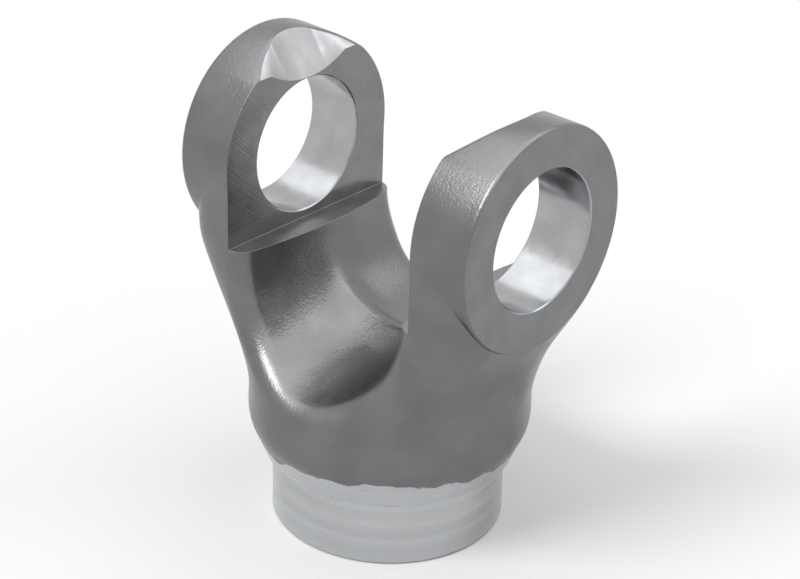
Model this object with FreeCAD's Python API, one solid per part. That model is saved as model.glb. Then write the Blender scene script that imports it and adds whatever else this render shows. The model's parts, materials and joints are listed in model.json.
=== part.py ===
import FreeCAD, Part
import math
import os

Vector = FreeCAD.Vector

# Weld yoke of a heavy driveshaft, forged in one piece and then machined.
# Frame: origin at the centre of the pilot's lower face, +Z towards the ears,
# X along the cross bore, Y across the arms. All lengths are in millimetres.

# Turned end: the pilot fits inside the tube and the bevel above it takes the weld.
PILOT_RADIUS = 48.0
PILOT_LENGTH = 28.0
PILOT_EDGE_RADIUS = 1.0
WELD_RADIUS = 52.0
WELD_BEVEL_ANGLE = 34.0
NECK_TAPER_ANGLE = 20.8
NECK_TOP = 40.0

# Recess forged into the lower face.
RECESS_RADIUS = 33.0
RECESS_DEPTH = 42.0
RECESS_DRAFT_ANGLE = 6.0
RECESS_FLOOR_RADIUS = 10.0
RECESS_MOUTH_CHAMFER = 2.0

# Ears and the cross bore through both.
BORE_RADIUS = 28.5
BORE_HEIGHT = 148.0
BORE_CHAMFER = 0.5
EAR_RADIUS = 45.4
EAR_EDGE_RADIUS = 2.5
INNER_FACE_X = 48.0
OUTER_FACE_X = 74.0
FACING_STOCK = 0.9
FACING_TOOL_DEPTH = 10.0
EAR_SEAT_DEPTH = 2.25
LEDGE_DROP = 32.0

# Top of each ear: a sloped flat, with a shallow scoop down its middle.
RELIEF_RISE = 35.2
RELIEF_SLOPE_ANGLE = 40.0
RELIEF_EDGE_RADIUS = 3.0
SCOOP_RISE = 28.9
SCOOP_SLOPE_ANGLE = 52.0
SCOOP_RADIUS = 58.0

# Forged body: a round belly that spreads in X and narrows in Y into two arms.
BELLY_RADIUS = 58.0
BELLY_HEIGHT = 50.0
BELLY_UNDERCUT = 5.0
BELLY_UNDERCUT_HEIGHT = 11.6
ARM_OUTER_X = 73.4
ARM_SPREAD_START = 74.0
ARM_SPREAD_END = 120.0
ARM_NARROWING_START = 50.0
ARM_NARROWING_END = 118.0
ARM_SQUARING_START = 58.0
ARM_SQUARING_END = 118.0
ARM_SQUARING_RATE = 1.8
ROUND_POWER = 2.0
ARM_CORNER_POWER = 8.5
SECTION_POINTS = 32
SECTIONS_ABOVE_BELLY = 12

# Saddle between the arms. Across, it is a half ellipse under upright walls. Along Y, its
# floor drops off a crest in the middle to a shelf on each side, which falls to the lip.
SADDLE_CREST_HEIGHT = 84.0
SADDLE_CREST_DROP = 6.0
SADDLE_CREST_LENGTH = 8.5
SADDLE_LIP_Y = 56.0
SADDLE_LIP_DROP = 11.0
SADDLE_SPRING_HEIGHT = 112.0
SADDLE_SPRING_RISE = 13.0
SADDLE_HALF_WIDTH = 37.0
SADDLE_FLARE = 7.5
SADDLE_END_Y = 66.0
SADDLE_ROWS = 45
SADDLE_COLUMNS = 15
LIP_RADIUS = 9.0


def smooth_step(value, start, end):
    share = min(max((value - start) / (end - start), 0.0), 1.0)
    return share * share * (3.0 - 2.0 * share)


def body_section(height):
    """Closed section: a circle at the belly, a rounded rectangle at the ears."""
    drop = max(BELLY_HEIGHT - height, 0.0) / BELLY_UNDERCUT_HEIGHT
    belly = BELLY_RADIUS - BELLY_UNDERCUT * (1.0 - math.sqrt(max(1.0 - drop * drop, 0.0)))
    spread = smooth_step(height, ARM_SPREAD_START, ARM_SPREAD_END)
    narrowing = smooth_step(height, ARM_NARROWING_START, ARM_NARROWING_END)
    squared_share = (height - ARM_SQUARING_START) / (ARM_SQUARING_END - ARM_SQUARING_START)
    squareness = min(max(squared_share, 0.0), 1.0) ** ARM_SQUARING_RATE
    half_x = belly + (ARM_OUTER_X - belly) * spread
    half_y = belly + (EAR_RADIUS - belly) * narrowing
    power = ROUND_POWER + (ARM_CORNER_POWER - ROUND_POWER) * squareness
    points = []
    for index in range(SECTION_POINTS):
        angle = 2.0 * math.pi * index / SECTION_POINTS
        c, s = math.cos(angle), math.sin(angle)
        reach = (abs(c) ** power + abs(s) ** power) ** (-1.0 / power)
        points.append(Vector(half_x * c * reach, half_y * s * reach, height))
    curve = Part.BSplineCurve()
    knots = [float(index) for index in range(SECTION_POINTS + 1)]
    curve.interpolate(Points=points, PeriodicFlag=True, Parameters=knots)
    return Part.Wire([curve.toShape()])


def forged_body():
    lower = [BELLY_HEIGHT - BELLY_UNDERCUT_HEIGHT * share for share in (1.0, 0.9, 0.7, 0.4)]
    step = (BORE_HEIGHT - BELLY_HEIGHT) / SECTIONS_ABOVE_BELLY
    upper = [BELLY_HEIGHT + step * index for index in range(SECTIONS_ABOVE_BELLY + 1)]
    return Part.makeLoft([body_section(height) for height in lower + upper], True, False)


def saddle_row(y):
    """Points along the half ellipse at one place along Y."""
    outward = abs(y) / SADDLE_LIP_Y
    off_crest = 1.0 - math.exp(-((y / SADDLE_CREST_LENGTH) ** 2))
    floor = SADDLE_CREST_HEIGHT - SADDLE_CREST_DROP * off_crest - SADDLE_LIP_DROP * outward ** 2
    spring = SADDLE_SPRING_HEIGHT + SADDLE_SPRING_RISE * outward ** 2
    half_width = SADDLE_HALF_WIDTH + SADDLE_FLARE * outward ** 2
    row = []
    for index in range(SADDLE_COLUMNS):
        angle = math.pi * index / (SADDLE_COLUMNS - 1)
        row.append(Vector(-half_width * math.cos(angle), y, spring - (spring - floor) * math.sin(angle)))
    return row


def saddle_cut():
    """Everything above the saddle's surface, between its walls."""
    step = 2.0 * SADDLE_END_Y / (SADDLE_ROWS - 1)
    surface = Part.BSplineSurface()
    surface.interpolate([saddle_row(-SADDLE_END_Y + step * index) for index in range(SADDLE_ROWS)])
    return Part.Face(surface).extrude(Vector(0, 0, BORE_HEIGHT + EAR_RADIUS))


def lip_edges(arms):
    """The two edges, front and back, where the saddle breaks through the body."""
    reach = SADDLE_HALF_WIDTH + 2.0 * SADDLE_FLARE
    edges = []
    for edge in arms.Edges:
        box = edge.BoundBox
        off_middle = box.YMin > 0.0 or box.YMax < 0.0
        within_saddle = box.XMin > -reach and box.XMax < reach
        rises = box.ZMax - box.ZMin > LIP_RADIUS
        if off_middle and within_saddle and rises:
            edges.append(edge)
    return edges


def ear():
    """The +X ear: a disc across the bore with its sloped top and scoop."""
    inner_x = INNER_FACE_X - EAR_SEAT_DEPTH
    outer_x = OUTER_FACE_X + FACING_STOCK
    disc = Part.makeCylinder(EAR_RADIUS, outer_x - inner_x, Vector(inner_x, 0, BORE_HEIGHT), Vector(1, 0, 0))
    disc.rotate(Vector(0, 0, BORE_HEIGHT), Vector(1, 0, 0), 180)
    rim = [edge for edge in disc.Edges if edge.BoundBox.XMin > outer_x - 0.01]
    disc = disc.makeFillet(EAR_EDGE_RADIUS, rim)
    disc = disc.cut(slope_tool(RELIEF_RISE, RELIEF_SLOPE_ANGLE))
    slope_edges = []
    for edge in disc.Edges:
        box = edge.BoundBox
        if box.YMin < -1.0 and box.YMax > 1.0 and box.XMax - box.XMin > 1.0 and box.ZMin > BORE_HEIGHT:
            slope_edges.append(edge)
    disc = disc.makeFillet(RELIEF_EDGE_RADIUS, slope_edges)
    return disc.cut(scoop_tool())


def slope_tool(rise, slope_angle):
    """Wedge above the plane that leaves the inner face at the given rise over the bore axis."""
    run = 2.0 * EAR_RADIUS
    foot = Vector(INNER_FACE_X - run, -run, BORE_HEIGHT + rise - run * math.tan(math.radians(slope_angle)))
    head = Vector(INNER_FACE_X + run, -run, BORE_HEIGHT + rise + run * math.tan(math.radians(slope_angle)))
    corner = Vector(foot.x, -run, head.z)
    face = Part.Face(Part.makePolygon([foot, head, corner, foot]))
    return face.extrude(Vector(0, 2.0 * run, 0))


def scoop_tool():
    """Round bar whose lowest line makes the floor of the scoop."""
    slope = math.radians(SCOOP_SLOPE_ANGLE)
    along = Vector(math.cos(slope), 0, math.sin(slope))
    away = Vector(-math.sin(slope), 0, math.cos(slope))
    floor = Vector(INNER_FACE_X, 0, BORE_HEIGHT + SCOOP_RISE)
    start = floor + away * SCOOP_RADIUS - along * EAR_RADIUS
    return Part.makeCylinder(SCOOP_RADIUS, 2.0 * EAR_RADIUS, start, along)


def forging():
    arms = forged_body().cut(saddle_cut())
    arms = arms.makeFillet(LIP_RADIUS, lip_edges(arms))
    right = ear()
    left = right.mirror(Vector(0, 0, 0), Vector(1, 0, 0))
    return arms.fuse([right, left])


def turned_end():
    """Pilot, weld bevel and neck, solid down the middle up to the belly."""
    bevel_rise = (WELD_RADIUS - PILOT_RADIUS) * math.tan(math.radians(WELD_BEVEL_ANGLE))
    bevel_top = PILOT_LENGTH + bevel_rise
    neck_radius = WELD_RADIUS + (NECK_TOP - bevel_top) * math.tan(math.radians(NECK_TAPER_ANGLE))
    outline = [Vector(0, 0, 0), Vector(PILOT_RADIUS, 0, 0), Vector(PILOT_RADIUS, 0, PILOT_LENGTH),
               Vector(WELD_RADIUS, 0, bevel_top), Vector(neck_radius, 0, NECK_TOP), Vector(0, 0, NECK_TOP),
               Vector(0, 0, 0)]
    turned = Part.Face(Part.makePolygon(outline)).revolve(Vector(0, 0, 0), Vector(0, 0, 1), 360)
    lower_edge = [edge for edge in turned.Edges if edge.BoundBox.ZMax < 0.01 and edge.BoundBox.XMax > 1.0]
    return turned.makeFillet(PILOT_EDGE_RADIUS, lower_edge)


def recess():
    """Drafted blind recess with a rounded floor and a chamfered mouth."""
    draft = math.tan(math.radians(RECESS_DRAFT_ANGLE))
    cup = Part.makeCone(RECESS_RADIUS, RECESS_RADIUS - RECESS_DEPTH * draft, RECESS_DEPTH)
    floor_edge = [edge for edge in cup.Edges if edge.BoundBox.ZMin > RECESS_DEPTH - 0.01]
    cup = cup.makeFillet(RECESS_FLOOR_RADIUS, floor_edge)
    mouth_radius = RECESS_RADIUS + RECESS_MOUTH_CHAMFER
    mouth_top_radius = RECESS_RADIUS - RECESS_MOUTH_CHAMFER * draft
    mouth = Part.makeCone(mouth_radius, mouth_top_radius, RECESS_MOUTH_CHAMFER)
    return cup.fuse(mouth)


def inner_facing():
    """Milled gap between the ears, down to the ledge on each arm."""
    ledge = BORE_HEIGHT - LEDGE_DROP
    height = BORE_HEIGHT + 2.0 * EAR_RADIUS - ledge
    corner = Vector(-INNER_FACE_X, -2.0 * EAR_RADIUS, ledge)
    return Part.makeBox(2.0 * INNER_FACE_X, 4.0 * EAR_RADIUS, height, corner)


def outer_facing(side):
    """Slab that faces one ear flat on the outside."""
    start = OUTER_FACE_X if side > 0 else -OUTER_FACE_X - FACING_TOOL_DEPTH
    corner = Vector(start, -2.0 * EAR_RADIUS, BORE_HEIGHT - 2.0 * EAR_RADIUS)
    return Part.makeBox(FACING_TOOL_DEPTH, 4.0 * EAR_RADIUS, 4.0 * EAR_RADIUS, corner)


def bore():
    length = 2.0 * OUTER_FACE_X + 2.0
    tool = Part.makeCylinder(BORE_RADIUS, length, Vector(-length / 2.0, 0, BORE_HEIGHT), Vector(1, 0, 0))
    mouth_radius = BORE_RADIUS + BORE_CHAMFER
    cones = []
    for side in (1.0, -1.0):
        for face_x, inward in ((OUTER_FACE_X, -side), (INNER_FACE_X, side)):
            start = Vector(side * face_x, 0, BORE_HEIGHT)
            cones.append(Part.makeCone(mouth_radius, BORE_RADIUS, BORE_CHAMFER, start, Vector(inward, 0, 0)))
    return tool.fuse(cones)


def tube_yoke():
    blank = forging().fuse(turned_end())
    cuts = [recess(), inner_facing(), outer_facing(1), outer_facing(-1), bore()]
    return blank.cut(cuts).removeSplitter()


yoke = tube_yoke()
os.makedirs("parts", exist_ok=True)
yoke.exportStep("parts/tube_yoke.step")
print("tube_yoke", yoke.isValid(), "solids", len(yoke.Solids), "faces", len(yoke.Faces),
      "volume_mm3", round(yoke.Volume), "box", yoke.BoundBox)
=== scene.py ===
import json
import math
import bmesh
import bpy
from mathutils import Matrix, Vector


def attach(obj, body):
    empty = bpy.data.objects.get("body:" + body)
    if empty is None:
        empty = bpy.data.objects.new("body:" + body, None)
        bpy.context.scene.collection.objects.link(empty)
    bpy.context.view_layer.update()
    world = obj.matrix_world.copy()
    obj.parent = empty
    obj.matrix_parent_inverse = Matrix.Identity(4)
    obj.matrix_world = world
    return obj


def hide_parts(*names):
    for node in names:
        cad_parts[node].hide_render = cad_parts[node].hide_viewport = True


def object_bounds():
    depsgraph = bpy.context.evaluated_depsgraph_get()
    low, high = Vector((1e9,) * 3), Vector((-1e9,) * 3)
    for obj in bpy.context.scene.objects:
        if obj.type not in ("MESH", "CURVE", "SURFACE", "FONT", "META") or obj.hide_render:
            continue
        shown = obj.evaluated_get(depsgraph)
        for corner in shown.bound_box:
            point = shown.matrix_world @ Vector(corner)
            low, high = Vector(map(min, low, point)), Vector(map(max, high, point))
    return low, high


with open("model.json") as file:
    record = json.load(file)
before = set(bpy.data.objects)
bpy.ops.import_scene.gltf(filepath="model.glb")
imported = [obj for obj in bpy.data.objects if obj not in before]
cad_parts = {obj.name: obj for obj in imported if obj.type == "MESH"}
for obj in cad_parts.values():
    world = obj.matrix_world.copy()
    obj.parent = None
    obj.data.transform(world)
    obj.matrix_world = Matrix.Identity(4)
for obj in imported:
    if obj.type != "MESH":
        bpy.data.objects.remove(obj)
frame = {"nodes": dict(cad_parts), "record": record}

cadLow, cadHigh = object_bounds()
mounts = {mount["name"]: mount for mount in frame["record"]["mounts"]}
boreCentre = Vector(mounts["cross_bore"]["pos_m"])
boreRadius = mounts["cross_bore"]["dims"]["r_mm"] / 1000
print("frame loaded, size in mm", [round(v * 1000, 1) for v in cadHigh - cadLow])


def add(tree, kind, inputs=None, output=0, **settings):
    node = tree.nodes.new("ShaderNode" + kind)
    for setting, value in settings.items():
        setattr(node, setting, value)
    for socket, value in (inputs or {}).items():
        if isinstance(value, bpy.types.NodeSocket):
            tree.links.new(value, node.inputs[socket])
        else:
            node.inputs[socket].default_value = value
    return node.outputs[output] if node.outputs else node


def towards(azimuth, elevation):  # azimuth 0 is the front, -Y, and 90 is +X
    a, e = math.radians(azimuth), math.radians(elevation)
    return Vector((math.sin(a) * math.cos(e), -math.cos(a) * math.cos(e), math.sin(e)))


noiseRange = (0.3, 0.7)  # nearly all of a noise's values lie in here


def calculate(tree, operation, *values):
    return add(tree, "Math", dict(enumerate(values)), operation=operation)


def fade(tree, value, start, end, low=0.0, high=1.0):
    inputs = {"Value": value, "From Min": start, "From Max": end, "To Min": low, "To Max": high}
    return add(tree, "MapRange", inputs, interpolation_type="SMOOTHSTEP")


def blend(tree, share, first, second):
    return add(tree, "Mix", {0: share, 2: first, 3: second})


def blendColours(tree, share, first, second):
    return add(tree, "Mix", {0: share, 6: first, 7: second}, output=2, data_type="RGBA")


def place(tree):
    return add(tree, "TexCoord", output="Object")


def cloud(tree, scale, detail=2.0):
    return add(tree, "TexNoise", {"Vector": place(tree), "Scale": scale, "Detail": detail})


def patches(tree, scale, low, high, detail=3.0):  # soft patches of values between low and high
    return fadeNoise(tree, cloud(tree, scale, detail), low, high)


def fadeNoise(tree, noise, low, high):
    return fade(tree, noise, *noiseRange, low, high)


def toolTracks(tree, distance, scale):  # uneven fine lines, side by side across the tool's path
    return add(tree, "TexNoise", {"W": distance, "Scale": scale, "Detail": 3.0}, noise_dimensions="1D")


def distanceFrom(tree, centre, axes):
    flat = add(tree, "VectorMath", {0: place(tree), 1: axes}, operation="MULTIPLY")
    return add(tree, "VectorMath", {0: flat, 1: centre}, output="Value", operation="DISTANCE")


def alongAxis(tree, axis):
    return add(tree, "SeparateXYZ", {0: place(tree)}, output=axis)


def steelColour(level):  # a little more blue than red, as bare steel is
    return (level * 0.98, level, level * 1.025, 1)


def newSteel(name):
    material = bpy.data.materials.new(name)
    material.use_nodes = True
    material.node_tree.nodes.clear()
    return material, material.node_tree


def finishSteel(tree, colour, roughness, height):
    rounded = add(tree, "Bevel", {"Radius": edgeLook["radius"]}, samples=edgeLook["samples"])
    normal = add(tree, "Bump", {"Height": height, "Distance": 1.0, "Normal": rounded})
    inputs = {"Metallic": 1.0, "Base Color": colour, "Roughness": roughness, "Normal": normal}
    steel = add(tree, "BsdfPrincipled", inputs)
    add(tree, "OutputMaterial", {"Surface": steel})


edgeLook = {"radius": 0.0004, "samples": 6}  # how far sharp machined edges are broken

forgedLook = {
    "level": 0.175, "mottle": 0.08, "mottleScale": 55,
    "roughness": 0.31, "roughSpread": 0.05, "roughScale": 130,
    "waveScale": 320, "waveDepth": 0.00005, "grainScale": 1050, "grainDepth": 0.00011,
}


def forgedSurface(tree):  # blasted skin: colour, roughness and height in metres
    look = forgedLook
    mottle = patches(tree, look["mottleScale"], 0.0, 1.0, detail=4.0)
    dark, light = look["level"] * (1 - look["mottle"]), look["level"] * (1 + look["mottle"])
    colour = blendColours(tree, mottle, steelColour(dark), steelColour(light))
    spread = look["roughSpread"] / 2
    roughness = patches(tree, look["roughScale"], look["roughness"] - spread, look["roughness"] + spread)
    waves = calculate(tree, "MULTIPLY", cloud(tree, look["waveScale"]), look["waveDepth"])
    grain = cloud(tree, look["grainScale"])
    height = calculate(tree, "MULTIPLY_ADD", grain, look["grainDepth"], waves)
    return colour, roughness, height


turnedLook = {
    "level": 0.50, "levelSpread": 0.2, "roughness": 0.26, "roughSpread": 0.14,
    "trackScale": 1400, "tracksPerBand": 6, "trackDepth": 0.00004,
    "lineHeight": 0.0355, "lineSwing": 0.006, "lineAzimuth": 41,  # its lowest, its rise, and where it peaks
    "lineWaver": 0.004, "waverScale": 60, "lineWidth": 0.0003,
}


def turnedSurface(tree):  # lathe tracks round the Z axis, on its walls and on its lower face
    look = turnedLook
    outward = distanceFrom(tree, (0, 0, 0), (1, 1, 0))
    path = calculate(tree, "ADD", outward, alongAxis(tree, 2))
    tracks = toolTracks(tree, path, look["trackScale"])
    bands = toolTracks(tree, path, look["trackScale"] / look["tracksPerBand"])
    height = calculate(tree, "MULTIPLY", tracks, look["trackDepth"])
    spread = look["roughSpread"] / 2
    roughness = fadeNoise(tree, bands, look["roughness"] - spread, look["roughness"] + spread)
    dark = look["level"] * (1 - look["levelSpread"] / 2)
    light = look["level"] * (1 + look["levelSpread"] / 2)
    colour = blendColours(tree, bands, steelColour(dark), steelColour(light))
    return colour, roughness, height


def turnedShare(tree):  # 1 below the wavy line where the lathe left the forged skin
    look = turnedLook
    flat = add(tree, "VectorMath", {0: place(tree), 1: (1, 1, 0)}, operation="MULTIPLY")
    facing = add(tree, "VectorMath", {0: flat}, operation="NORMALIZE")
    highest = towards(look["lineAzimuth"], 0)
    cosine = add(tree, "VectorMath", {0: facing, 1: highest}, output="Value", operation="DOT_PRODUCT")
    square = calculate(tree, "MULTIPLY", cosine, cosine)
    swing = calculate(tree, "MULTIPLY", square, look["lineSwing"])
    waver = patches(tree, look["waverScale"], -look["lineWaver"] / 2, look["lineWaver"] / 2)
    rise = calculate(tree, "ADD", swing, waver)
    line = calculate(tree, "ADD", rise, look["lineHeight"])
    above = calculate(tree, "SUBTRACT", alongAxis(tree, 2), line)
    return fade(tree, above, -look["lineWidth"], look["lineWidth"], 1.0, 0.0)


def forgedSkin():
    material, tree = newSteel("forged_skin")
    finishSteel(tree, *forgedSurface(tree))
    return material


def forgedOverTurned():
    material, tree = newSteel("forged_over_turned")
    share = turnedShare(tree)
    forged, turned = forgedSurface(tree), turnedSurface(tree)
    colour = blendColours(tree, share, forged[0], turned[0])
    roughness = blend(tree, share, forged[1], turned[1])
    height = blend(tree, share, forged[2], turned[2])
    finishSteel(tree, colour, roughness, height)
    return material


cutLook = {  # level, roughness, track scale and track depth of each machined finish
    "bored": (0.38, 0.18, 1600, 0.000025),
    "milled": (0.21, 0.24, 900, 0.000040),
    "sideFaced": (0.20, 0.25, 900, 0.000025),
    "ledge": (0.24, 0.34, 900, 0.00003),
    "relief": (0.34, 0.38, 700, 0.000008),
}
cutPatches = {"levelScale": 90, "levelSpread": 0.07, "roughScale": 160, "roughSpread": 0.2}
millCentre = Vector((0, 0.11, boreCentre.z + 0.16))  # of the arcs that the face mill leaves


def cutSurface(tree, name, path):
    level, rough, scale, depth = cutLook[name]
    tracks = toolTracks(tree, path, scale)
    share = patches(tree, cutPatches["levelScale"], 0.0, 1.0)
    dark, light = level * (1 - cutPatches["levelSpread"]), level * (1 + cutPatches["levelSpread"])
    colour = blendColours(tree, share, steelColour(dark), steelColour(light))
    spread = rough * cutPatches["roughSpread"]
    roughness = patches(tree, cutPatches["roughScale"], rough - spread, rough + spread)
    finishSteel(tree, colour, roughness, calculate(tree, "MULTIPLY", tracks, depth))


def boredSteel():
    material, tree = newSteel("bored_steel")
    cutSurface(tree, "bored", alongAxis(tree, 0))
    return material


def milledSteel():
    material, tree = newSteel("milled_steel")
    cutSurface(tree, "milled", distanceFrom(tree, millCentre, (0, 1, 1)))
    return material


def sideFacedSteel():
    material, tree = newSteel("side_faced_steel")
    cutSurface(tree, "sideFaced", distanceFrom(tree, boreCentre, (0, 1, 1)))
    return material


def ledgeSteel():
    material, tree = newSteel("ledge_steel")
    cutSurface(tree, "ledge", alongAxis(tree, 0))
    return material


def reliefSteel():
    material, tree = newSteel("relief_steel")
    cutSurface(tree, "relief", alongAxis(tree, 1))
    return material


yokeForm = {
    "innerFaceX": 0.048,
    "ledgeDrop": 0.032,      # below the bore axis
    "boreChamfer": 0.0005,
    "reliefAngle": 40,       # slopes of the flat and the scoop on top of each ear
    "scoopAngle": 52,
    "reliefRise": 0.024,     # over the bore axis, just under the scoop's lowest point
    "recessMouth": 0.0355,   # a radius just outside the recess
    "recessTop": 0.0425,
    "turnedReach": 0.062,    # above this there is only forged skin
    "sharpAngle": 28,
    "mergeDistance": 1e-6,
}
faceMatch = {"near": 0.0001, "flat": 0.999, "upright": 0.9, "lean": 0.02, "up": 0.5, "inwards": 0.4}
finishes = {"forged": forgedSkin, "base": forgedOverTurned, "bored": boredSteel, "milled": milledSteel,
            "sideFaced": sideFacedSteel, "ledge": ledgeSteel, "relief": reliefSteel}


def squareTo(normal, side, angle):  # does the face lie on a slope that rises outwards?
    slope = math.radians(angle)
    return abs(normal.x * side * math.cos(slope) + normal.z * math.sin(slope)) < faceMatch["lean"]


def finishOf(face):
    form, near = yokeForm, faceMatch["near"]
    middle, normal = face.calc_center_median(), face.normal
    side = 1 if middle.x > 0 else -1
    fromBore = math.hypot(middle.y, middle.z - boreCentre.z)
    fromAxis = math.hypot(middle.x, middle.y)
    rise = middle.z - boreCentre.z
    sideways = abs(normal.x) > faceMatch["flat"]
    aboveLedge = rise > -form["ledgeDrop"] - near
    if fromBore < boreRadius + form["boreChamfer"] - near and abs(normal.x) < faceMatch["upright"]:
        return "bored"
    if sideways and abs(abs(middle.x) - cadHigh.x) < near:
        return "sideFaced"
    if sideways and aboveLedge and abs(abs(middle.x) - form["innerFaceX"]) < near:
        return "milled"
    if normal.z > faceMatch["flat"] and abs(rise + form["ledgeDrop"]) < near:
        return "ledge"
    facesIn = normal.z > faceMatch["up"] and normal.x * side < -faceMatch["inwards"]
    onSlope = squareTo(normal, side, form["scoopAngle"]) or squareTo(normal, side, form["reliefAngle"])
    if rise > form["reliefRise"] and facesIn and onSlope:
        return "relief"
    if fromAxis < form["recessMouth"] and near < middle.z < form["recessTop"]:
        return "forged"
    return "base" if middle.z < form["turnedReach"] else "forged"


def buildYoke():
    mesh = frame["nodes"]["tube_yoke"].data.copy()
    mesh.name = "yoke_forging"
    mesh.materials.clear()
    for makeSteel in finishes.values():
        mesh.materials.append(makeSteel())
    work = bmesh.new()
    work.from_mesh(mesh)
    bmesh.ops.remove_doubles(work, verts=work.verts, dist=yokeForm["mergeDistance"])
    for edge in work.edges:
        edge.smooth = edge.calc_face_angle(0.0) < math.radians(yokeForm["sharpAngle"])
    names = list(finishes)
    counts = dict.fromkeys(names, 0)
    for face in work.faces:
        face.smooth = True
        finish = finishOf(face)
        counts[finish] += 1
        face.material_index = names.index(finish)
    work.to_mesh(mesh)
    work.free()
    for attribute in [a for a in mesh.attributes if a.name == "custom_normal"]:
        mesh.attributes.remove(attribute)
    yoke = bpy.data.objects.new("yoke_forging", mesh)
    bpy.context.scene.collection.objects.link(yoke)
    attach(yoke, "root")
    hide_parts("tube_yoke")
    print("yoke built, triangles by finish", counts)


buildYoke()

cameraSetup = {"azimuth": 41.426, "elevation": 28.037, "roll": 1.798, "distance": 0.9104,
               "aim": (0.00205, 0.00182, 0.09977), "lens": 102.41}


def aimCamera():
    setup = cameraSetup
    back = towards(setup["azimuth"], setup["elevation"])
    data = bpy.data.cameras.new("camera")
    data.lens = setup["lens"]
    camera = bpy.data.objects.new("camera", data)
    turn = back.to_track_quat("Z", "Y").to_matrix().to_4x4()
    turn = turn @ Matrix.Rotation(math.radians(setup["roll"]), 4, "Z")
    camera.matrix_world = Matrix.Translation(Vector(setup["aim"]) + back * setup["distance"]) @ turn
    bpy.context.scene.collection.objects.link(camera)
    bpy.context.scene.camera = camera


aimCamera()
print("camera placed")

studioLamps = {  # azimuth, elevation, angle across in degrees, brightness of the lamp's face
    "overhead": (0, 90, 90, 1.25),
    "key": (-16, 48, 25, 9.5),
    "back": (148, 41, 30, 1.3),
}
worldFill = 0.1


def addLamp(name, azimuth, elevation, across, brightness):
    data = bpy.data.lights.new(name, "SUN")
    data.angle = math.radians(across)
    data.energy = brightness * math.pi * math.sin(data.angle / 2) ** 2
    lamp = bpy.data.objects.new(name, data)
    lamp.matrix_world = towards(azimuth, elevation).to_track_quat("Z", "Y").to_matrix().to_4x4()
    bpy.context.scene.collection.objects.link(lamp)


for lampName, lampSetup in studioLamps.items():
    addLamp(lampName, *lampSetup)


def whiteWorld():
    world = bpy.data.worlds.new("studio")
    world.use_nodes = True
    tree = world.node_tree
    tree.nodes.clear()
    path = tree.nodes.new("ShaderNodeLightPath")
    direct = calculate(tree, "MAXIMUM", path.outputs["Is Camera Ray"], path.outputs["Is Glossy Ray"])
    shown = calculate(tree, "MAXIMUM", direct, path.outputs["Is Transmission Ray"])
    strength = blend(tree, shown, worldFill, 1.0)
    sky = add(tree, "Background", {"Color": (1, 1, 1, 1), "Strength": strength})
    add(tree, "OutputWorld", {"Surface": sky})
    bpy.context.scene.world = world


whiteWorld()


floorSetup = {"halfWidth": 3.0, "paint": (0.9, 0.9, 0.9, 1)}


def paleFloor():
    work = bmesh.new()
    bmesh.ops.create_grid(work, x_segments=1, y_segments=1, size=floorSetup["halfWidth"])
    mesh = bpy.data.meshes.new("floor")
    work.to_mesh(mesh)
    work.free()
    material, tree = newSteel("floor_paint")
    paint = add(tree, "BsdfDiffuse", {"Color": floorSetup["paint"]})
    add(tree, "OutputMaterial", {"Surface": paint})
    mesh.materials.append(material)
    floor = bpy.data.objects.new("floor", mesh)
    bpy.context.scene.collection.objects.link(floor)


paleFloor()
bpy.context.scene.view_settings.view_transform = "Standard"
print("lamps, world and floor placed")
